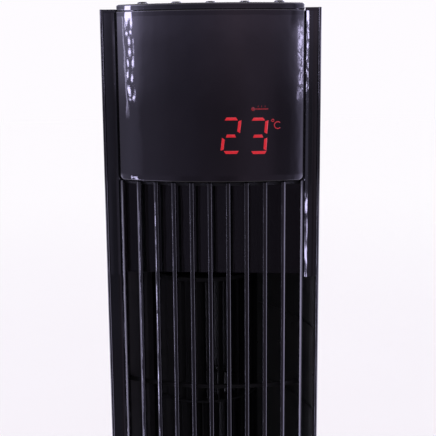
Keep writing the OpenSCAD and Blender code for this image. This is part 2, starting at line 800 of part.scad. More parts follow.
module motor_windings() color(copper) at_blower() {
    tube(coil_in, coil_out, core_z1 + gap, core_z1 + gap + winding_h);
    tube(coil_in, coil_out, core_z0 - gap - winding_h, core_z0 - gap);
}

module motor_bushes() color(copper) at_blower() for (z = [motor_z0, motor_z1 - bush_h])
    tube(shaft_r + 0.04, motor_bush_r, z, z + bush_h);

module motor_mounts() color(rubber_black) at_blower()
    for (a = mount_angles) rotate(a) translate([mount_r, 0, 0]) difference() {
        union() {
            rod(4, deck_z, deck_top);
            rod(6, deck_z - 2, deck_z);
            rod(6, deck_top, deck_top + 1.4);
        }
        rod(thread_r, deck_z - 5, deck_z + 10);
    }

module motor_screws() color(steel) at_blower()
    for (a = mount_angles) rotate(a) translate([mount_r, 0, deck_top + 1.4]) screw(18, 3.2, 1.6);

// ---------------------------------------------------------------- electrics

module power_board() color(board_green) {
    slab([-45, power_board_y, casing_z0 + gap], [45, power_board_y + board_t, 160]);
    slab([-40, 46, 70], [-12, power_board_y, 92]);
    slab([-2, 49, 72], [14, power_board_y, 88]);
    slab([20, 50, 66], [40, power_board_y, 76]);
}

module motor_capacitor() color(natural_plastic) slab([2, 38, 108], [40, power_board_y - gap, 138]);

// The direction of a route at point i
function along(p, i) = unit(p[min(i + 1, len(p) - 1)] - p[max(i - 1, 0)]);

// Corners of the tube's ring at point i
function ring_at(p, i) = let (
    d = along(p, i),
    u = unit(cross(d, [0.6, 0.8, 0.05])),
    w = cross(d, u)
) [for (k = [0:harness_sides - 1]) let (a = k * 360 / harness_sides)
    p[i] + harness_r * (cos(a) * u + sin(a) * w)];

// The internal lead from the power board up the channel behind the tongue to the display
module wiring_harness() color(rubber_black) {
    n = harness_sides;
    last = len(harness_route) - 1;
    polyhedron(
        points = [for (i = [0:last]) each ring_at(harness_route, i)],
        faces = concat([[for (k = [0:n - 1]) k]], [[for (k = [n - 1:-1:0]) last * n + k]],
            [for (i = [0:last - 1], k = [0:n - 1])
                [i * n + k, (i + 1) * n + k, (i + 1) * n + (k + 1) % n, i * n + (k + 1) % n]])
    );
}

module temperature_sensor() color(natural_plastic) translate([30, 66, top_plate_top]) {
    rod(2.6, 0, 9);
    translate([0, 0, 9]) sphere(r = 2.6);
}

// ---------------------------------------------------------------- head

module top_cap() color(gloss_black) difference() {
    union() {
        translate([0, 0, cap_z]) linear_extrude(3.2) head_outline(0.2);
        translate([0, 0, cap_z + 3.2]) linear_extrude(column_top - cap_z - 3.2) head_outline(1.6);
        translate([0, 0, cap_z - 6]) linear_extrude(6) difference() {
            head_outline(3);
            head_outline(5);
        }
        for (sx = [-1, 1], y = [-50, -38]) translate([sx * 41, y, 0]) rod(2.5, board_z + board_t, cap_z);
    }
    for (x = button_x) translate([x, -button_y, 0]) rod(button_r + 0.15, cap_z - overrun, column_top + 1);
}

module display_lens() color(gloss_black) bowed_panel(panel_z0, panel_z1, panel_z0);

module display_board() color(board_green) {
    slab([-60, display_y, 868], [64, display_y + board_t, 980]);
    slab([-54, display_y + board_t, 876], [-46, display_y + board_t + 1.2, 884]);
}

// Bars of one seven-segment digit, from its low left corner
module digit_bars(x, z, w, h, t) for (b = [
    [0, 0, w, t], [0, h / 2 - t / 2, w, t], [0, h - t, w, t],
    [-t, 0, t, h / 2], [-t, h / 2, t, h / 2], [w, 0, t, h / 2], [w, h / 2, t, h / 2]
]) slab([x + b[0] + gap, led_y - 0.4, z + b[1] + gap],
        [x + b[0] + b[2] - gap, led_y, z + b[1] + b[3] - gap]);

module led_digits() color(led_red) {
    slab([4, led_y, 874], [62, display_y, 926]);
    for (x = [12.5, 35.5]) digit_bars(x, 883.5, 8.5, 27, 2.6);
}

module control_board() color(board_green) slab([-66, -53, board_z], [66, -35, board_z + board_t]);

module tact_switches() color(satin_black) for (x = button_x) translate([x, -button_y, 0]) {
    slab([-3, -3, board_z + board_t], [3, 3, board_z + board_t + switch_body_h]);
    rod(1.7, board_z + board_t + switch_body_h, switch_top);
}

// One button: a stem that reaches down to its switch, a flange under the cap, and the button's head
module button(i) color(gloss_black) translate([button_x[i], -button_y, 0]) rotate_extrude() polygon([
    [0, switch_top + button_travel + 0.2], [button_stem_r, switch_top + button_travel + 0.2],
    [button_stem_r, button_flange_z],
    [button_flange_r, button_flange_z], [button_flange_r, cap_z - 0.2], [button_r, cap_z - 0.2],
    [button_r, column_top + button_rise - button_bevel],
    [button_r - button_bevel, column_top + button_rise], [0, column_top + button_rise]
]);

base_cover();
base_plate();
base_weight();
base_feet();
base_screws();
cord_bush();
swing_motor();
glide_ring();
swing_pinion();
swing_gear();
swing_hub();
swing_screws();
column_base();
rear_casing();
rear_grille();
upper_plate();
lower_plate();
front_grille();
lower_panel();
handle_cup();
casing_screws();
duct_scroll();
duct_tongue();
duct_top_plate();
motor_deck();
upper_bearing();
bearing_seat();
impeller_segment(1);  // impeller_segment_1
impeller_segment(2);  // impeller_segment_2
impeller_segment(3);  // impeller_segment_3
impeller_segment(4);  // impeller_segment_4
impeller_segment(5);  // impeller_segment_5
impeller_end_cap();
impeller_axle();
impeller_hub();
motor_shaft();
motor_rotor();
motor_case_upper();
motor_case_lower();
motor_stator();
motor_windings();
motor_bushes();
motor_mounts();
motor_screws();
motor_capacitor();
power_board();
wiring_harness();
temperature_sensor();
top_cap();
display_lens();
display_board();
led_digits();
control_board();
tact_switches();
button(0);  // button_power
button(1);  // button_speed
button(2);  // button_swing
button(3);  // button_timer
button(4);  // button_mode
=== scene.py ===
"""Looks of the tower fan: materials, detailed covers, slats and display, studio and camera.

Metres, +Z up, front faces -Y. Shapes are worked out in millimetres.
"""
import json
import math

import bmesh
import bpy
from mathutils import Matrix, Vector, geometry


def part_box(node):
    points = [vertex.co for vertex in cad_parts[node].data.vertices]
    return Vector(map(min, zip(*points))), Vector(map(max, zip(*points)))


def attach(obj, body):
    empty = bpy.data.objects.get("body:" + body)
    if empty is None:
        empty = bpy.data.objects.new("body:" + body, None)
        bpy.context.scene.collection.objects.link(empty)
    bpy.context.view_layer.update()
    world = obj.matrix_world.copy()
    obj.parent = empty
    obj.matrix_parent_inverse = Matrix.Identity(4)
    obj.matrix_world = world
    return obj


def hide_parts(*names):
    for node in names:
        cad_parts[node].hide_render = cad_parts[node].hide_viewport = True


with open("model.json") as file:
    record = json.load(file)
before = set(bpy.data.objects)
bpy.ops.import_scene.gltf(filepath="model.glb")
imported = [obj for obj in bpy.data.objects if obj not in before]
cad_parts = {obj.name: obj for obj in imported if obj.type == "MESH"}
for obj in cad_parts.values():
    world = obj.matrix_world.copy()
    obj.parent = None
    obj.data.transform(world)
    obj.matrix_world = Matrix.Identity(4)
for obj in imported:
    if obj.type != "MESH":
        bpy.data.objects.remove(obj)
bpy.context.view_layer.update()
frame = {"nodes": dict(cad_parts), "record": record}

MM = 0.001
NODES = frame["nodes"]
scene = bpy.context.scene

# ------------------------------------------------------------------ shape values shared by several pieces

BOW_R = 0.1793                                       # radius of the bowed front in plan, in metres
BOW_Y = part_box("display_lens")[0].y + BOW_R
PANEL_LOW, PANEL_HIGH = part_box("display_lens")
WING_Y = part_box("upper_plate")[0].y / MM             # face of the wings beside the panels


def bow(x, inset=0.0):
    """y of the bowed front at x, set back by inset, all in millimetres."""
    r = BOW_R / MM - inset
    return BOW_Y / MM - math.sqrt(r * r - x * x)


# ------------------------------------------------------------------ node helpers


class Graph:
    """Short ways to add nodes to one node tree."""

    def __init__(self, tree):
        self.tree = tree

    def add(self, kind, **settings):
        n = self.tree.nodes.new(kind)
        for k, v in settings.items():
            setattr(n, k, v)
        return n

    def join(self, a, b):
        self.tree.links.new(a, b)

    def put(self, socket, value):
        """Links a socket or sets a constant."""
        if isinstance(value, bpy.types.NodeSocket):
            self.join(value, socket)
        else:
            socket.default_value = value

    def math(self, op, a, b=0.0, c=0.0):
        n = self.add("ShaderNodeMath", operation=op)
        for socket, v in zip(n.inputs, (a, b, c)):
            self.put(socket, v)
        return n.outputs[0]

    def object_point(self):
        return self.add("ShaderNodeTexCoord").outputs["Object"]

    def split(self, vector):
        n = self.add("ShaderNodeSeparateXYZ")
        self.join(vector, n.inputs[0])
        return n.outputs

    def stretch(self, vector, scale):
        n = self.add("ShaderNodeMapping")
        self.join(vector, n.inputs[0])
        n.inputs["Scale"].default_value = scale
        return n.outputs[0]

    def noise(self, vector, scale, detail=3.0, rough=0.5, distort=0.0):
        n = self.add("ShaderNodeTexNoise")
        self.join(vector, n.inputs["Vector"])
        n.inputs["Scale"].default_value = scale
        n.inputs["Detail"].default_value = detail
        n.inputs["Roughness"].default_value = rough
        n.inputs["Distortion"].default_value = distort
        return n.outputs["Fac"]

    def voronoi(self, vector, scale, out="Distance", rand=1.0, dimensions="3D"):
        n = self.add("ShaderNodeTexVoronoi", voronoi_dimensions=dimensions)
        self.join(vector, n.inputs["Vector"])
        n.inputs["Scale"].default_value = scale
        n.inputs["Randomness"].default_value = rand
        return n.outputs[out]

    def remap(self, value, a, b, c, d, smooth=False):
        n = self.add("ShaderNodeMapRange", interpolation_type="SMOOTHSTEP" if smooth else "LINEAR")
        self.put(n.inputs[0], value)
        for i, v in enumerate((a, b, c, d)):
            n.inputs[i + 1].default_value = v
        return n.outputs[0]

    def band(self, value, lo, hi, soft):
        """1 between lo and hi, falling to 0 over soft on both sides."""
        up = self.remap(value, lo - soft, lo, 0.0, 1.0, True)
        down = self.remap(value, hi, hi + soft, 1.0, 0.0, True)
        return self.math("MULTIPLY", up, down)

    def ramp(self, value, stops):
        """Colour ramp of (place, colour) stops."""
        n = self.add("ShaderNodeValToRGB")
        self.put(n.inputs[0], value)
        e = n.color_ramp.elements
        while len(e) < len(stops):
            e.new(0.5)
        for el, (at, _) in zip(e, stops):
            el.position = at
        for el, (_, col) in zip(e, stops):
            el.color = (*col, 1.0)
        return n.outputs[0]

    def curve(self, value, lo, hi, points, top):
        """Piecewise-straight function of value from lo to hi; points are (x, y), y at most top."""
        t = self.remap(value, lo, hi, 0.0, 1.0)
        stops = [((x - lo) / (hi - lo), (y / top,) * 3) for x, y in points]
        return self.math("MULTIPLY", self.ramp(t, stops), top)

    def mix(self, fac, a, b):
        n = self.add("ShaderNodeMix", data_type="RGBA")
        self.put(n.inputs["Factor"], fac)
        for name, v in (("A", a), ("B", b)):
            socket = [s for s in n.inputs if s.name == name and s.type == "RGBA"][0]
            self.put(socket, v if isinstance(v, bpy.types.NodeSocket) else (*v, 1.0))
        return [s for s in n.outputs if s.type == "RGBA"][0]

    def bump(self, height, distance, normal=None):
        n = self.add("ShaderNodeBump")
        n.inputs["Strength"].default_value = 1.0
        n.inputs["Distance"].default_value = distance
        self.join(height, n.inputs["Height"])
        if normal is not None:
            self.join(normal, n.inputs["Normal"])
        return n.outputs[0]


def new_material(name):
    m = bpy.data.materials.new(name)
    m.use_nodes = True
    g = Graph(m.node_tree)
    g.tree.nodes.clear()
    out = g.add("ShaderNodeOutputMaterial")
    bsdf = g.add("ShaderNodeBsdfPrincipled")
    g.join(bsdf.outputs[0], out.inputs[0])
    return m, g, bsdf.inputs


# ------------------------------------------------------------------ materials

# Darkest and lightest of the shell's black
BLACK = ((0.0028, 0.0030, 0.0036), (0.0042, 0.0044, 0.0054))
THROAT_Y = (-0.052, -0.046)                          # the duct's gloss ends between these y, in metres, and the painted fill light inside begins


def gloss(name, dark, light, rough=(0.02, 0.08), peel=0.5):
    """Glossy moulded plastic: faint cloudy colour, smears in the gloss, fine dust and a slight ripple."""
    m, g, s = new_material(name)
    p = g.object_point()
    cloud = g.noise(p, 18.0, 4.0, 0.6)
    g.join(g.ramp(cloud, [(0.3, dark), (0.7, light)]), s["Base Color"])
    smear = g.noise(g.stretch(p, (1.0, 1.0, 0.35)), 60.0, 5.0, 0.65, 0.6)
    dust = g.remap(g.voronoi(p, 420.0), 0.0, 0.1, 0.25, 0.0)
    g.join(g.math("ADD", g.remap(smear, 0.35, 0.75, *rough), dust), s["Roughness"])
    ripple = g.noise(g.stretch(p, (1.0, 1.0, 0.5)), 55.0, 2.0, 0.4)
    peel_h = g.noise(p, 700.0, 2.0, 0.5)
    first = g.bump(ripple, 0.0006 * peel)
    g.join(g.bump(peel_h, 0.00001 * peel, first), s["Normal"])
    return m


def textured(name, dark, light, rough, grain, depth, metal=0.0, uneven=0.07, specular=0.5):
    """Fine-grained plastic, rubber or painted metal."""
    m, g, s = new_material(name)
    p = g.object_point()
    cloud = g.noise(p, 30.0, 4.0, 0.6)
    g.join(g.ramp(cloud, [(0.3, dark), (0.7, light)]), s["Base Color"])
    wear = g.noise(p, 90.0, 4.0, 0.6)
    g.join(g.remap(wear, 0.3, 0.7, rough - uneven, rough + uneven), s["Roughness"])
    fine = g.noise(p, grain, 3.0, 0.6)
    g.join(g.bump(fine, depth), s["Normal"])
    s["Metallic"].default_value = metal
    s["Specular IOR Level"].default_value = specular
    return m


def plated_steel():
    m, g, s = new_material("steel")
    p = g.object_point()
    spangle = g.voronoi(p, 260.0, "Color")
    tone = g.math("MULTIPLY", g.split(spangle)[0], 0.1)
    base = g.ramp(tone, [(0.0, (0.50, 0.51, 0.53)), (0.1, (0.66, 0.66, 0.66))])
    g.join(base, s["Base Color"])
    scratch = g.noise(g.stretch(p, (1.0, 1.0, 0.06)), 1600.0, 4.0, 0.7)
    g.join(g.remap(scratch, 0.3, 0.7, 0.22, 0.42), s["Roughness"])
    g.join(g.bump(scratch, 0.00002), s["Normal"])
    s["Metallic"].default_value = 1.0
    return m


def circuit_board():
    m, g, s = new_material("board")
    p = g.object_point()
    x, _, z = g.split(p)
    lines = g.add("ShaderNodeTexBrick")
    swap = g.add("ShaderNodeCombineXYZ")
    g.join(x, swap.inputs[0])
    g.join(z, swap.inputs[1])
    g.join(swap.outputs[0], lines.inputs["Vector"])
    lines.inputs["Scale"].default_value = 90.0
    lines.inputs["Mortar Size"].default_value = 0.03
    lines.inputs["Color1"].default_value = (0.012, 0.085, 0.03, 1)
    lines.inputs["Color2"].default_value = (0.016, 0.10, 0.04, 1)
    lines.inputs["Mortar"].default_value = (0.05, 0.19, 0.09, 1)
    g.join(lines.outputs["Color"], s["Base Color"])
    g.join(g.remap(g.noise(p, 200.0), 0.3, 0.7, 0.25, 0.4), s["Roughness"])
    g.join(g.bump(lines.outputs["Fac"], 0.00006), s["Normal"])
    return m


def lit_red(name, power):
    """A lit segment, slightly uneven as behind a smoked lens."""
    m, g, s = new_material(name)
    p = g.object_point()
    uneven = g.noise(p, 900.0, 3.0, 0.6)
    g.join(g.ramp(uneven, [(0.25, (0.030, 0.002, 0.003)), (0.75, (0.050, 0.003, 0.004))]), s["Base Color"])
    g.join(g.ramp(uneven, [(0.25, (0.70, 0.010, 0.020)), (0.75, (1.0, 0.028, 0.040))]), s["Emission Color"])
    s["Emission Strength"].default_value = power
    s["Roughness"].default_value = 0.3
    return m


def throat():
    """The wing's gloss in front; inside the duct a duller wall whose colour is lifted to grey, painted fill
    light where little light reaches.
    """
    m = gloss("throat_black", *BLACK)
    g = Graph(m.node_tree)
    s = m.node_tree.nodes["Principled BSDF"].inputs
    inside = g.remap(g.split(g.object_point())[1], *THROAT_Y, 0.0, 1.0, True)
    cloud = g.noise(g.object_point(), 60.0, 3.0, 0.6)
    # painted fill light: a lighter grey colour inside the duct stands in for the light that barely reaches
    # there
    painted_fill_tone = g.ramp(cloud, [(0.3, (0.012, 0.011, 0.014)), (0.7, (0.017, 0.016, 0.020))])
    g.join(g.mix(inside, s["Base Color"].links[0].from_socket, painted_fill_tone), s["Base Color"])
    smooth = s["Roughness"].links[0].from_socket
    g.join(g.math("ADD", smooth, g.math("MULTIPLY", inside, 0.45)), s["Roughness"])
    return m


MATS = {
    "gloss_black": gloss("gloss_black", *BLACK),
    "display_gloss": gloss("display_gloss", (0.0040, 0.0032, 0.0048), (0.0060, 0.0048, 0.0070),
                           (0.01, 0.05), 0.35),
    "throat_black": throat(),
    "satin_black": textured("satin_black", (0.010, 0.010, 0.011), (0.016, 0.016, 0.017), 0.42, 2600.0, 0.00006),
    "dark_plastic": textured("dark_plastic", (0.008, 0.008, 0.009), (0.013, 0.013, 0.014), 0.30, 900.0,
                             0.00003),
    "scroll_grey": textured("scroll_grey", (0.014, 0.014, 0.015), (0.018, 0.018, 0.019), 0.30, 1500.0, 0.00001,
                            uneven=0.03),
    "blower_grey": textured("blower_grey", (0.0040, 0.0040, 0.0048), (0.0060, 0.0060, 0.0070), 0.68, 1200.0,
                            0.00002, specular=0.2),
    "dull_black": textured("dull_black", (0.0030, 0.0030, 0.0036), (0.0046, 0.0046, 0.0054), 0.62, 900.0,
                           0.00003, specular=0.2),
    "cast_iron": textured("cast_iron", (0.06, 0.06, 0.065), (0.10, 0.10, 0.105), 0.55, 700.0, 0.0003, 0.6),
    "rubber": textured("rubber", (0.012, 0.012, 0.012), (0.022, 0.022, 0.022), 0.75, 1800.0, 0.00005),
    "steel": plated_steel(),
    "bronze": textured("bronze", (0.36, 0.19, 0.09), (0.50, 0.28, 0.13), 0.35, 1500.0, 0.00003, 1.0),
    "natural_plastic": textured("natural_plastic", (0.66, 0.63, 0.56), (0.74, 0.71, 0.65), 0.38, 900.0,
                                0.00003),
    "board": circuit_board(),
    "led_red": lit_red("led_red", 0.66),
    "led_unit": lit_red("led_unit", 0.42),
    "led_dim": lit_red("led_dim", 0.16),
}

# CAD nodes whose look differs from their slot's material
OWN_LOOK = {
    "duct_scroll": "scroll_grey",
    "duct_tongue": "throat_black",
    "impeller_end_cap": "blower_grey",
    "impeller_hub": "blower_grey",
    **{f"impeller_segment_{i}": "blower_grey" for i in range(1, 6)},
}
for row in frame["record"]["subparts"]:
    node = NODES[row["node"]]
    node.data.materials.clear()
    node.data.materials.append(MATS[OWN_LOOK.get(row["node"], row["material_slot"])])

# ------------------------------------------------------------------ mesh building

SHARP = math.radians(35.0)                           # edges bent by more than this stay sharp


class Shape:
    """Collects the vertices and faces of a piece; points are given in millimetres."""

    def __init__(self):
        self.v = []
        self.f = []

    def points(self, pts):
        first = len(self.v)
        self.v += [(p[0] * MM, p[1] * MM, p[2] * MM) for p in pts]
        return list(range(first, len(self.v)))

    def skin(self, a, b, closed=True):
        n = len(a) if closed else len(a) - 1
        for i in range(n):
            j = (i + 1) % len(a)
            self.f.append((a[i], a[j], b[j], b[i]))

    def loft(self, rings, closed=True):
        rows = [self.points(r) for r in rings]
        for a, b in zip(rows, rows[1:]):
            self.skin(a, b, closed)
        return rows

    def solid(self, rings):
        """A loft whose two ends are closed by flat faces."""
        rows = self.loft(rings)
        self.f.append(tuple(reversed(rows[0])))
        self.f.append(tuple(rows[-1]))

    def build(self, name, mat):
        me = bpy.data.meshes.new(name)
        me.from_pydata(self.v, [], self.f)
        bm = bmesh.new()
        bm.from_mesh(me)
        bmesh.ops.remove_doubles(bm, verts=bm.verts, dist=1e-7)
        bmesh.ops.recalc_face_normals(bm, faces=bm.faces)
        bm.to_mesh(me)
        bm.free()
        me.polygons.foreach_set("use_smooth", [True] * len(me.polygons))
        me.set_sharp_from_angle(angle=SHARP)
        me.materials.append(mat)
        o = bpy.data.objects.new(name, me)
        scene.collection.objects.link(o)
        return o


def use(piece, node, body="column"):
    """The piece stands in for a CAD node and rides its body."""
    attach(piece, body)
    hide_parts(node)


def arc(cx, cy, r, a0, a1, steps):
    """Points on an arc, angles in degrees."""
    return [
        (cx + r * math.cos(math.radians(a0 + (a1 - a0) * i / steps)),
         cy + r * math.sin(math.radians(a0 + (a1 - a0) * i / steps)))
        for i in range(steps + 1)
    ]


def spread(a, b, n):
    return [a + (b - a) * i / n for i in range(n + 1)]


# ------------------------------------------------------------------ bowed panels

WIDE, TALL, TURN = 48, 28, 7                         # steps along a panel's width, height and each corner
CHAIN = WIDE + 2 * TURN + 1                          # points in the lower chain, as many as in the upper
PANEL_T = 2.4                                        # thickness of the panels
PANEL_EDGE = 0.9                                     # radius of the panels' front edge
FLANGE_BACK = -46.0                                  # y where the panels' flanges and the side rails end


def frame_ring(half, low, high, r_low, r_high, inset):
    """Closed ring of (x, z, edge) round a panel with rounded corners; edge names the side a point is on."""
    x = half - inset
    z0 = low + inset
    z1 = high - inset
    a = max(r_low - inset, 0.05)
    b = max(r_high - inset, 0.05)
    ring = [(*p, "low") for p in arc(-x + a, z0 + a, a, 180, 270, TURN)]
    ring += [(t, z0, "low") for t in spread(-x + a, x - a, WIDE)[1:-1]]
    ring += [(*p, "low") for p in arc(x - a, z0 + a, a, 270, 360, TURN)]
    ring += [(x, t, "side") for t in spread(z0 + a, z1 - b, TALL)[1:-1]]
    ring += [(*p, "high") for p in arc(x - b, z1 - b, b, 0, 90, TURN)]
    ring += [(t, z1, "high") for t in spread(x - b, -x + b, WIDE)[1:-1]]
    ring += [(*p, "high") for p in arc(-x + b, z1 - b, b, 90, 180, TURN)]
    ring += [(-x, t, "side") for t in spread(z1 - b, z0 + a, TALL)[1:-1]]
    return ring


def bowed_panel(name, mat, half, low, high, r_low, r_high, open_side):
    """A bowed cover with rounded front edges, side flanges and one level flange; open_side has no flange."""
    s = Shape()

    def ring(inset, setback):
        return [(x, bow(x, setback), z) for x, z, _ in frame_ring(half, low, high, r_low, r_high, inset)]

    def back_ring(inset):
        pts = frame_ring(half, low, high, r_low, r_high, inset)
        return [(x, bow(x, PANEL_T + 0.5) if e == open_side else FLANGE_BACK, z) for x, z, e in pts]

    def face(rim):
        """Fills the ring with a grid whose columns join its lower chain to its upper chain."""
        lower = rim[:CHAIN]
        start = CHAIN + TALL - 1
        upper = list(reversed(rim[start:start + CHAIN]))
        left = [lower[0]] + list(reversed(rim[start + CHAIN:])) + [upper[0]]
        right = [lower[-1]] + rim[CHAIN:start] + [upper[-1]]
        columns = [left]
        for k in range(1, CHAIN - 1):
            a, b = Vector(s.v[lower[k]]), Vector(s.v[upper[k]])
            inner = [a.lerp(b, j / TALL) / MM for j in range(1, TALL)]
            columns.append([lower[k]] + s.points(inner) + [upper[k]])
        columns.append(right)
        for c, d in zip(columns, columns[1:]):
            s.skin(c, d, False)

    outer = [ring(PANEL_EDGE * (1 - math.cos(turn)), PANEL_EDGE * (1 - math.sin(turn)))
             for turn in spread(0, math.pi / 2, 6)]
    rows = s.loft([back_ring(0.0)] + outer)
    face(rows[-1])
    inner = s.loft([back_ring(PANEL_T), ring(PANEL_T, PANEL_T)])
    face(inner[-1])
    s.skin(rows[0], inner[0])
    return s.build(name, mat)


panel_half = (PANEL_HIGH.x - PANEL_LOW.x) / 2 / MM
panel_z = (PANEL_LOW.z / MM, PANEL_HIGH.z / MM)
use(bowed_panel("display_panel", MATS["display_gloss"], panel_half, *panel_z, 3.8, 1.2, "high"),
    "display_lens")
skirt_z = (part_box("lower_panel")[0].z / MM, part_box("lower_panel")[1].z / MM)
use(bowed_panel("lower_cover", MATS["gloss_black"], panel_half, *skirt_z, 1.2, 3.0, "low"),
    "lower_panel")

# ------------------------------------------------------------------ wings beside the display

# Each wing's side of the fan, and how steep its fold is at each x: (x, degrees), straight between them
FOLDS = (
    (-1, ((78.7, 0.0), (78.35, 28.2), (75.6, 30.4), (75.2, 80.0))),
    (1, ((82.2, 0.0), (81.2, -18.0), (79.4, -18.0), (78.7, 0.0), (78.35, 27.0), (75.4, 29.2), (75.2, 80.0))),
)
FOLD_STEP = 0.05
PLATE_T = 2.2                                        # thickness of the wings
RECESS_SIDE = 76.4                                   # half width of the plate behind the display
RECESS_FRONT, RECESS_BACK = -44.0, -41.9
RECESS_TOP = 978.0
ROOT_END = -41.8                                     # y where the wings' roots end


def fold_line(stops):
    """The fold from a wing's face towards the recess, for one row of FOLDS."""
    x, y = stops[0][0], WING_Y
    pts = [(x, y)]
    for (x0, a0), (x1, a1) in zip(stops, stops[1:]):
        n = round((x0 - x1) / FOLD_STEP)
        for i in range(n):
            y += FOLD_STEP * math.tan(math.radians(a0 + (a1 - a0) * (i + 0.5) / n))
            x -= FOLD_STEP
            if i % 2 or i == n - 1:
                pts.append((x, y))
    return pts


def side_wings():
    """The two wings and the plate behind the display."""
    corner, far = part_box("upper_plate")
    low, high, out = corner.z / MM, far.z / MM, far.x / MM
    s = Shape()
    for side, stops in FOLDS:
        face = fold_line(stops)
        root, depth = face[-1]
        plan = [(root, ROOT_END), (root, depth + 0.3)] + face[::-1]
        plan += [(out - 0.4, WING_Y), (out - 0.1, WING_Y + 0.1), (out, WING_Y + 0.4), (out, WING_Y + PLATE_T)]
        root += PLATE_T
        plan += [(79.0, WING_Y + PLATE_T), (root + 0.6, WING_Y + PLATE_T + 1.0),
                 (root, WING_Y + PLATE_T + 2.6), (root, ROOT_END)]
        s.solid([[(side * x, y, z) for x, y in plan] for z in spread(low, high, 30)])
    back = [(-RECESS_SIDE, RECESS_FRONT), (RECESS_SIDE, RECESS_FRONT),
            (RECESS_SIDE, RECESS_BACK), (-RECESS_SIDE, RECESS_BACK)]
    s.solid([[(x, y, z) for x, y in back] for z in (low + 0.05, RECESS_TOP)])
    return s.build("side_wings", MATS["gloss_black"])


use(side_wings(), "upper_plate")

# ------------------------------------------------------------------ front slats

SLATS = 9
PITCH = 14.72                                        # from slat to slat
DEPTH = 14.0                                         # from a slat's nose to its tail
CROWN = 0.12                                         # how far the middle of a nose stands forward
LEVELS = 36                                          # steps along the slats and rails
RIBS = 4
RIB_TOP, RIB_PITCH = 684.7, 170.0                    # height of the highest rib, and from one to the next
RIB_HALF = 72.9                                      # half length of the ribs and bands


def slat_plan(x0):
    """Plan of one slat: slightly crowned nose with rounded corners, sides that taper to a rounded tail."""
    slope = x0 / math.sqrt((BOW_R / MM) ** 2 - x0 * x0)
    half, r, tail = 1.7, 0.7, 1.05
    crown = [(t, CROWN * (t / (half - r)) ** 2) for t in spread(-half + r, half - r, 6)]
    pts = arc(-half + r, r + CROWN, r, 180, 270, 6)[:-1] + crown
    pts += arc(half - r, r + CROWN, r, 270, 360, 6)[1:]
    pts += arc(0, DEPTH - tail, tail, 0, 180, 8)
    return [(x0 + x, bow(x0) + y + x * slope) for x, y in pts]


def swept_rib(s, inset, depth, z0, z1, r):
    """A level rib with rounded front edges, swept from side to side."""
    prof = [(depth, z0)] + arc(r, z0 + r, r, 270, 180, 5) + arc(r, z1 - r, r, 180, 90, 5) + [(depth, z1)]
    s.solid([[(x, bow(x, inset) + d, z) for d, z in prof] for x in spread(-RIB_HALF, RIB_HALF, 60)])


def front_slats():
    """The slats and the rails beside them."""
    s = Shape()
    low, high = (c.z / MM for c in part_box("front_grille"))
    levels = spread(low + 0.4, high - 0.4, LEVELS)
    for i in range(SLATS):
        plan = slat_plan((i - (SLATS - 1) / 2) * PITCH)
        s.solid([[(x, y, z) for x, y in plan] for z in levels])
    for side in (-1, 1):
        a, b, r = 72.3, 74.7, 0.6
        plan = arc(a + r, bow(a) + r + 0.15, r, 180, 270, 5) + arc(b - r, bow(b) + r, r, 270, 360, 5)
        plan += [(b, FLANGE_BACK), (a, FLANGE_BACK)]
        s.solid([[(side * x, y, z) for x, y in plan] for z in spread(low + 0.02, high - 0.02, LEVELS)])
    return s.build("front_slats", MATS["gloss_black"])


def slat_ribs():
    """The level bands at both ends of the slats, and the ribs behind them."""
    s = Shape()
    low, high = (c.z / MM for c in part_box("front_grille"))
    for z0, z1 in ((low, low + 3), (high - 3, high)):
        swept_rib(s, 5.0, 9.4, z0, z1, 0.7)
    for k in range(RIBS):
        z = RIB_TOP - RIB_PITCH * k
        swept_rib(s, 12.0, 2.4, z - 1.7, z + 1.7, 0.5)
    return s.build("slat_ribs", MATS["dull_black"])


use(front_slats(), "front_grille")
ribs = slat_ribs()
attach(ribs, "column")

# ------------------------------------------------------------------ cap and buttons

CAP_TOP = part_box("top_cap")[1].z / MM
CAP_LOW = CAP_TOP - 4.4                              # underside of the cap's plate
CAP_RIM = CAP_LOW - 0.45                             # the rim hangs a little below it
CAP_SIDE = 74.9                                      # half width of the cap
CAP_LIP = 1.4                                        # radius of the cap's upper edge
BUTTONS = ("button_power", "button_speed", "button_swing", "button_timer", "button_mode")
BUTTON_R = 4.3


def button_centre(node):
    low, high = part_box(node)
    return (low.x + high.x) / 2 / MM, (low.y + high.y) / 2 / MM


def cap_plan(inset, z):
    """The cap's plan: bowed front, softened front corners, straight sides and a round back."""
    r = CAP_SIDE - inset
    c = 2.2
    front = [(x, bow(x, inset)) for x in spread(-r + c, r - c, 64)]
    corner = Vector((r, bow(r, inset)))
    a, b = Vector(front[-1]), Vector((r, corner.y + c))
    soft = [a.lerp(corner, t).lerp(corner.lerp(b, t), t) for t in spread(0, 1, 8)][1:]
    right = [(p.x, p.y) for p in soft] + [(r, y) for y in spread(corner.y + c, 0.0, 8)[1:-1]]
    round_back = arc(0, 0, r, 0, 180, 72)
    left = [(-x, y) for x, y in reversed(right)]
    return [(x, y, z) for x, y in front + right + round_back + left]


def flat_with_holes(s, outer, holes):
    """Fills a flat outline that has round holes; outer and holes are lists of vertex numbers."""
    loops = [outer] + holes
    ids = [i for loop in loops for i in loop]
    pts = [Vector((s.v[i][0], s.v[i][1])) for i in ids]
    edges = []
    first = 0
    for loop in loops:
        edges += [(first + i, first + (i + 1) % len(loop)) for i in range(len(loop))]
        first += len(loop)
    tri = geometry.delaunay_2d_cdt(pts, edges, [], 1, 1e-9)
    centres = [sum((Vector(s.v[i][:2]) for i in h), Vector((0, 0))) / len(h) for h in holes]
    radii = [(Vector(s.v[h[0]][:2]) - c).length for h, c in zip(holes, centres)]
    for face in tri[2]:
        mid = sum((tri[0][i] for i in face), Vector((0, 0))) / len(face)
        if all((mid - c).length > r for c, r in zip(centres, radii)):
            s.f.append(tuple(ids[tri[3][i][0]] for i in face))


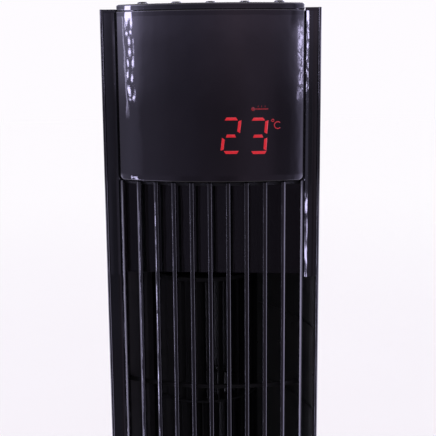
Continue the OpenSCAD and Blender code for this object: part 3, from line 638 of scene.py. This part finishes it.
def cap_piece():
    """The cap: a rounded rim, a fine groove inside it, five holes for the buttons, and a skirt below."""
    s = Shape()
    rim = ((2.9, CAP_LOW), (2.9, CAP_RIM), (0.5, CAP_RIM), (0.2, CAP_RIM + 0.3))
    rings = [cap_plan(inset, z) for inset, z in rim]
    rings += [cap_plan(0.2 + CAP_LIP * (1 - math.cos(t)), CAP_TOP - CAP_LIP + CAP_LIP * math.sin(t))
              for t in spread(0, math.pi / 2, 7)]
    groove = ((3.4, 0.0), (3.7, 0.25), (4.3, 0.25), (4.6, 0.0))
    rings += [cap_plan(inset, CAP_TOP - depth) for inset, depth in groove]
    rows = s.loft(rings)
    tops, lows = [], []
    for node in BUTTONS:
        x, y = button_centre(node)
        hole = BUTTON_R + 0.15
        wall = [[(*p, z) for p in arc(x, y, r, 0, 360, 40)[:-1]]
                for r, z in ((hole + 0.5, CAP_TOP), (hole + 0.15, CAP_TOP - 0.15), (hole, CAP_TOP - 0.5),
                             (hole, CAP_LOW))]
        holes = s.loft(wall)
        tops.append(holes[0])
        lows.append(holes[-1])
    flat_with_holes(s, rows[-1], tops)
    flat_with_holes(s, rows[0], lows)
    skirt = ((5.0, 0.4), (3.0, 0.4), (3.0, -6.0), (5.0, -6.0))
    walls = s.loft([cap_plan(inset, CAP_LOW + rise) for inset, rise in skirt])
    s.skin(walls[-1], walls[0])
    return s.build("cap_cover", MATS["gloss_black"])


use(cap_piece(), "top_cap")


def button_piece(node):
    """A button turned from one profile: stem, flange, and a head with a soft edge and a shallow dish."""
    x, y = button_centre(node)
    low, top = (c.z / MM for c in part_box(node))
    soft = 0.9
    below = ((2.0, 1.9), (2.3, 1.6), (6.0, 1.6), (6.2, 1.4), (6.2, 0.4), (6.0, 0.2), (BUTTON_R, 0.2))
    prof = [(1.6, low), (2.0, low + 0.4)] + [(r, CAP_LOW - drop) for r, drop in below]
    prof += [(BUTTON_R, z) for z in spread(CAP_LOW, top - soft, 4)]
    prof += arc(BUTTON_R - soft, top - soft, soft, 0, 90, 7)[1:]
    prof += [(r, top - 0.35 * (1 - (r / 3.2) ** 2)) for r in (3.0, 2.4, 1.8, 1.2, 0.6, 0.2)]
    s = Shape()
    s.solid([[(*p, z) for p in arc(x, y, r, 0, 360, 56)[:-1]] for r, z in prof])
    return s.build(node.replace("button", "key"), MATS["gloss_black"])


for node in BUTTONS:
    use(button_piece(node), node, node)

# ------------------------------------------------------------------ lit display

LIT_PROUD = 0.12                                     # how far the lit shapes stand off the panel
LIT_BACK = -0.25                                     # and how far they reach into it
SEGMENT = 2.3                                        # thickness of a digit's segments
# The digits' segments: x and z of both ends, and how far each end is cut aslant, in thicknesses
TWO = (
    (12.7, 910.4, 22.4, 910.4, 0.5), (13.4, 897.0, 21.0, 897.0, 0.3), (23.0, 884.0, 11.9, 884.0, 0.5),
    (23.3, 899.6, 24.4, 909.2, 0.35), (11.3, 895.2, 10.2, 885.6, 0.35),
)
THREE = (
    (33.9, 910.0, 43.6, 910.0, 0.5), (34.8, 896.6, 42.4, 896.6, 0.3), (45.0, 883.6, 33.5, 883.6, 0.5),
    (44.5, 898.6, 45.5, 908.9, 0.35), (43.9, 885.4, 44.6, 895.0, 0.35),
)


def lit_shape(s, outline):
    """A thin plate of the given (x, z) outline that follows the bowed panel."""
    cx = sum(p[0] for p in outline) / len(outline)
    cz = sum(p[1] for p in outline) / len(outline)
    rings = []
    for proud, shrink in ((LIT_BACK, 1.0), (LIT_PROUD - 0.05, 1.0), (LIT_PROUD, 0.93)):
        ring = [(cx + (x - cx) * shrink, cz + (z - cz) * shrink) for x, z in outline]
        rings.append([(x, bow(x) - proud, z) for x, z in ring])
    s.solid(rings)


def bar(s, x0, z0, x1, z1, slant):
    """A segment from one point to another, cut aslant at both ends."""
    a, b = Vector((x0, z0)), Vector((x1, z1))
    d = (b - a).normalized()
    n = Vector((-d.y, d.x)) * SEGMENT / 2
    cut = d * SEGMENT * slant
    top = [a + cut + n, b - cut + n]
    low = [b + cut * 0.3 - n, a - cut * 0.3 - n]
    pts = []
    for p, q in ((top[0], top[1]), (top[1], low[0]), (low[0], low[1]), (low[1], top[0])):
        pts += [p.lerp(q, i / 6) for i in range(6)]
    lit_shape(s, [(p.x, p.y) for p in pts])


def display_segments():
    """The two digits of the reading."""
    s = Shape()
    for row in TWO + THREE:
        bar(s, *row)
    return s


def thin_line(s, pts, t):
    """A stroke t thick along (x, z) points."""
    left, right = [], []
    for i, p in enumerate(pts):
        a = Vector(pts[max(i - 1, 0)])
        b = Vector(pts[min(i + 1, len(pts) - 1)])
        d = (b - a).normalized()
        n = Vector((-d.y, d.x)) * t / 2
        left.append((p[0] + n.x, p[1] + n.y))
        right.append((p[0] - n.x, p[1] - n.y))
    rows = [[(x, bow(x) - h, z) for x, z in edge]
            for edge, h in ((left, LIT_BACK), (left, LIT_PROUD), (right, LIT_PROUD), (right, LIT_BACK))]
    ids = [s.points(r) for r in rows]
    for a, b in zip(ids, ids[1:] + ids[:1]):
        s.skin(a, b, False)
    s.f.append(tuple(r[0] for r in ids))
    s.f.append(tuple(r[-1] for r in reversed(ids)))


def display_unit():
    """The degree sign and the unit, drawn as strokes."""
    s = Shape()
    thin_line(s, arc(50.1, 908.8, 0.95, 0, 352, 20), 0.55)
    thin_line(s, arc(54.0, 905.0, 2.7, 48, 312, 22), 0.75)
    return s


def display_mark():
    """A small thermometer above the digits."""
    s = Shape()
    stem_z = 917.9
    lit_shape(s, arc(34.6, stem_z, 1.5, 0, 360, 20)[:-1])
    thin_line(s, [(x, stem_z) for x in spread(36.4, 46.5, 8)], 1.1)
    for x in (38.6, 41.3, 44.0):
        thin_line(s, [(x, z) for z in spread(919.3, 920.5, 3)], 0.5)
    return s


LIT = (
    ("lit_segments", display_segments(), "led_red"),
    ("lit_unit", display_unit(), "led_unit"),
    ("lit_mark", display_mark(), "led_dim"),
)
for name, shape, mat in LIT:
    piece = shape.build(name, MATS[mat])
    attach(piece, "column")

# ------------------------------------------------------------------ stage: floor, reflection ring, world


def make_mesh(name, verts, faces, mat):
    me = bpy.data.meshes.new(name)
    me.from_pydata(verts, [], faces)
    me.validate()
    me.update()
    o = bpy.data.objects.new(name, me)
    scene.collection.objects.link(o)
    me.materials.append(mat)
    return o


def floor_material():
    """Pale lavender paper near the fan, turning white far from it: painted shading near the fan, painted
    brightening far away.
    """
    m, g, s = new_material("floor_paper")
    p = g.object_point()
    cloud = g.noise(p, 1.4, 3.0, 0.5)
    near = g.ramp(cloud, [(0.3, (0.945, 0.925, 0.955)), (0.7, (0.955, 0.94, 0.97))])
    # painted shading and brightening: the colour fades from the lavender near the fan to white with distance
    away = g.add("ShaderNodeVectorMath", operation="LENGTH")
    g.join(p, away.inputs[0])
    far = g.remap(away.outputs["Value"], 1.2, 6.0, 0.0, 1.0, True)
    g.join(g.mix(far, near, (1.0, 1.0, 1.0)), s["Base Color"])
    s["Roughness"].default_value = 0.9
    s["Specular IOR Level"].default_value = 0.1
    g.join(g.bump(g.noise(p, 900.0, 3.0, 0.6), 0.0002), s["Normal"])
    return m


FLOOR_R = 14.0
FLOOR_SIDES = 96
FLOOR_Z = -0.0002                                    # just under the feet
floor_ring = arc(0, 0, FLOOR_R, 0, 360 - 360 / FLOOR_SIDES, FLOOR_SIDES - 1)
floor_points = [(x, y, FLOOR_Z) for x, y in floor_ring]
floor = make_mesh("floor", floor_points, [list(range(FLOOR_SIDES))], floor_material())
floor.visible_glossy = False

# The ring of light that only reflections see: its radius, the heights of its edges, and its faces
RING_R = 1.3
RING_Z = (-0.6, 1.7)
RING_SIDES = 180
RING_POWER = 1.28
BRIGHTEST = 7.0                                      # the highest value in the three tables below

# Brightness by azimuth in degrees, 0 at the front and negative on the left, at three heights of the room
HIGH = (
    (-180, 0.9), (-120, 0.9), (-80, 1.2), (-62, 1.6), (-59.3, 1.8), (-57.2, 2.4), (-54.6, 2.6), (-47.8, 2.3),
    (-45, 1.6), (-42, 0.9), (-35, 0.62), (-26, 0.42), (-15, 0.33), (0, 0.35), (12, 0.43), (28, 0.40),
    (37, 0.42), (41, 0.55), (43.5, 0.95), (45, 1.8), (46.5, 3.0), (48, 3.6), (50, 5.0), (56, 5.2),
    (62, 3.4), (100, 2.4), (125, 3.6), (150, 3.6), (165, 1.2), (180, 0.9),
)
MID = (
    (-180, 0.5), (-90, 0.5), (-62, 0.6), (-58, 0.7), (-52, 0.8), (-47, 0.7), (-44, 0.42), (-35, 0.36),
    (-26, 0.27), (-15, 0.22), (-8, 0.18), (0, 0.17), (10, 0.2), (20, 0.3), (28, 0.28), (36, 0.16), (42, 0.17),
    (46, 0.4), (48, 1.2), (50, 2.0), (53, 2.0), (58, 1.2), (90, 0.9), (180, 0.5),
)
LOW = (
    (-180, 0.6), (-122, 0.6), (-119, 6.0), (-106, 6.0), (-103, 0.7), (-80, 0.7), (-77, 5.0), (-64, 5.0),
    (-60, 1.4), (-54, 0.8), (-46, 0.5), (-28, 0.36), (-20, 0.16), (-10, 0.15), (-6, 0.2), (2, 0.11), (9, 0.13),
    (16, 0.3), (40, 0.3), (45, 0.5), (47, 1.4), (54, 4.0), (60, 7.0), (76, 7.0), (79, 1.0), (100, 1.0),
    (104, 7.0), (118, 7.0), (121, 0.8), (180, 0.6),
)
# Colour by azimuth: the places 0 and 1 are both straight behind the fan, 0.5 is the front
TINT = (
    (0.0, (0.85, 0.82, 1.0)), (0.25, (0.80, 0.77, 1.0)), (0.36, (0.70, 0.65, 1.0)),
    (0.46, (0.70, 0.62, 1.0)), (0.53, (0.82, 0.63, 0.92)), (0.58, (0.78, 0.62, 0.94)),
    (0.63, (0.70, 0.64, 1.0)), (0.75, (0.80, 0.77, 1.0)), (1.0, (0.85, 0.82, 1.0)),
)


def ring_room(g, az, z):
    """The smooth part of the room's brightness."""
    high, mid, low = (g.curve(az, -180, 180, table, BRIGHTEST) for table in (HIGH, MID, LOW))
    room = low
    for upper, z0, z1 in ((mid, 0.66, 0.71), (high, 0.84, 0.99)):
        part = g.remap(z, z0, z1, 0.0, 1.0, True)
        rest = g.math("MULTIPLY", room, g.math("SUBTRACT", 1.0, part))
        room = g.math("ADD", rest, g.math("MULTIPLY", upper, part))
    # brighter towards the ceiling, apart from one darker band
    for gain in ((0.97, 1.05, 0.93, 1.42), (1.075, 1.10, 1.0, 0.72), (1.32, 1.55, 1.0, 6.0)):
        room = g.math("MULTIPLY", room, g.remap(z, *gain, True))
    # the right side is dimmer high up
    dim = g.math("MULTIPLY", g.band(az, 44.0, 62.0, 3.0), g.remap(z, 1.0, 1.04, 0.0, 0.68, True))
    return g.math("MULTIPLY", room, g.math("SUBTRACT", 1.0, dim))


def ring_plane(g, az, z, across, up):
    """The ring's surface rolled out flat, as texture coordinates."""
    n = g.add("ShaderNodeCombineXYZ")
    g.join(g.math("MULTIPLY", az, across), n.inputs[0])
    g.join(g.math("MULTIPLY", z, up), n.inputs[1])
    return n.outputs[0]


def ring_window(g, az, z, az_range, az_soft, z_range, z_soft):
    """1 inside a rectangle of azimuth and height, falling to 0 round it."""
    return g.math("MULTIPLY", g.band(az, *az_range, az_soft), g.band(z, *z_range, z_soft))


def ring_lamps(g, az, z):
    """The bright details in the room."""
    # a broken vertical row of small lamps at the left: lumps above, longer dashes below
    flat = ring_plane(g, az, z, 0.36, 46.0)
    lumps = g.voronoi(flat, 1.0, "Distance", 0.8, "2D")
    lumps = g.math("SUBTRACT", lumps, g.remap(z, 1.03, 1.055, 0.0, 0.6, True))
    lumps = g.remap(lumps, 0.18, 0.38, 1.0, 0.0, True)
    dashes = g.voronoi(ring_plane(g, az, z, 0.3, 27.0), 1.0, "Distance", 0.8, "2D")
    dashes = g.remap(dashes, 0.24, 0.50, 1.0, 0.0, True)
    upper = ring_window(g, az, z, (-53.2, -48.9), 0.8, (0.885, 1.22), 0.02)
    lower = ring_window(g, az, z, (-52.0, -48.6), 0.8, (0.02, 0.64), 0.012)
    row = g.math("ADD", g.math("MULTIPLY", lumps, upper), g.math("MULTIPLY", dashes, lower))
    row = g.math("MULTIPLY", row, 24.0)
    # a fainter mottled patch at the right
    fleck = g.remap(g.noise(flat, 2.6, 2.0, 0.6), 0.44, 0.62, 0.0, 16.0, True)
    patch = g.math("MULTIPLY", ring_window(g, az, z, (47.5, 54.0), 2.0, (0.89, 1.01), 0.03), fleck)
    # a thin slanting line beside the lamps
    slant = g.math("MULTIPLY_ADD", z, 10.0, g.math("SUBTRACT", az, 10.0))
    thread = g.math("MULTIPLY", ring_window(g, slant, z, (-55.3, -54.9), 0.4, (0.86, 1.07), 0.03), 6.0)
    # a light strip low down at the left
    strip = g.math("MULTIPLY", g.band(az, -62.0, -36.0, 3.0), g.remap(z, -0.05, -0.15, 0.0, 5.0, True))
    return g.math("ADD", g.math("ADD", g.math("ADD", row, patch), thread), strip)


def ring_material():
    """Brightness of the room as the gloss sees it, by azimuth from the front and height in metres."""
    m = bpy.data.materials.new("studio_ring")
    m.use_nodes = True
    g = Graph(m.node_tree)
    g.tree.nodes.clear()
    x, y, z = g.split(g.object_point())
    az = g.math("DEGREES", g.math("ARCTAN2", x, g.math("MULTIPLY", y, -1.0)))
    light = g.math("ADD", ring_room(g, az, z), ring_lamps(g, az, z))
    emit = g.add("ShaderNodeEmission")
    g.join(g.ramp(g.remap(az, -180, 180, 0.0, 1.0), TINT), emit.inputs["Color"])
    g.join(g.math("MULTIPLY", light, RING_POWER), emit.inputs["Strength"])
    out = g.add("ShaderNodeOutputMaterial")
    g.join(emit.outputs[0], out.inputs[0])
    m.cycles.emission_sampling = "NONE"
    return m


ring_pts = arc(0, 0, RING_R, 0, 360 - 360 / RING_SIDES, RING_SIDES - 1)
ring_pairs = [(i, (i + 1) % RING_SIDES) for i in range(RING_SIDES)]
ring = make_mesh(
    "studio_ring",
    [(x, y, z) for z in RING_Z for x, y in ring_pts],
    [[i, j, RING_SIDES + j, RING_SIDES + i] for i, j in ring_pairs],
    ring_material(),
)
for rays in ("camera", "diffuse", "transmission", "volume_scatter", "shadow"):
    setattr(ring, "visible_" + rays, False)

world = bpy.data.worlds.new("studio_world")
scene.world = world
world.use_nodes = True
back = world.node_tree.nodes["Background"]
back.inputs["Color"].default_value = (0.99, 0.965, 1.0, 1.0)
back.inputs["Strength"].default_value = 1.0

scene.view_settings.view_transform = "Standard"
scene.view_settings.look = "None"

# ------------------------------------------------------------------ camera

# Fitted to the photo's edges: turned left, tilted down and rolled, in degrees
CAMERA_TURNS = (4.29, 10.08, -0.45)
CAMERA_AT = (0.05946, -0.77825, 0.9571)
CAMERA_LENS = 73.98                                  # mm on a 36 mm sensor


def make_camera():
    yaw, pitch, roll = (math.radians(a) for a in CAMERA_TURNS)
    forward = Vector((-math.sin(yaw) * math.cos(pitch), math.cos(yaw) * math.cos(pitch), -math.sin(pitch)))
    right = Vector((math.cos(yaw), math.sin(yaw), 0.0))
    up = right.cross(forward)
    r = math.cos(roll) * right + math.sin(roll) * up
    u = math.cos(roll) * up - math.sin(roll) * right
    data = bpy.data.cameras.new("camera")
    data.lens = CAMERA_LENS
    data.sensor_width = 36.0
    data.clip_start = 0.01
    cam = bpy.data.objects.new("camera", data)
    scene.collection.objects.link(cam)
    cam.matrix_world = Matrix((
        (r.x, u.x, -forward.x, CAMERA_AT[0]),
        (r.y, u.y, -forward.y, CAMERA_AT[1]),
        (r.z, u.z, -forward.z, CAMERA_AT[2]),
        (0, 0, 0, 1),
    ))
    scene.camera = cam


make_camera()
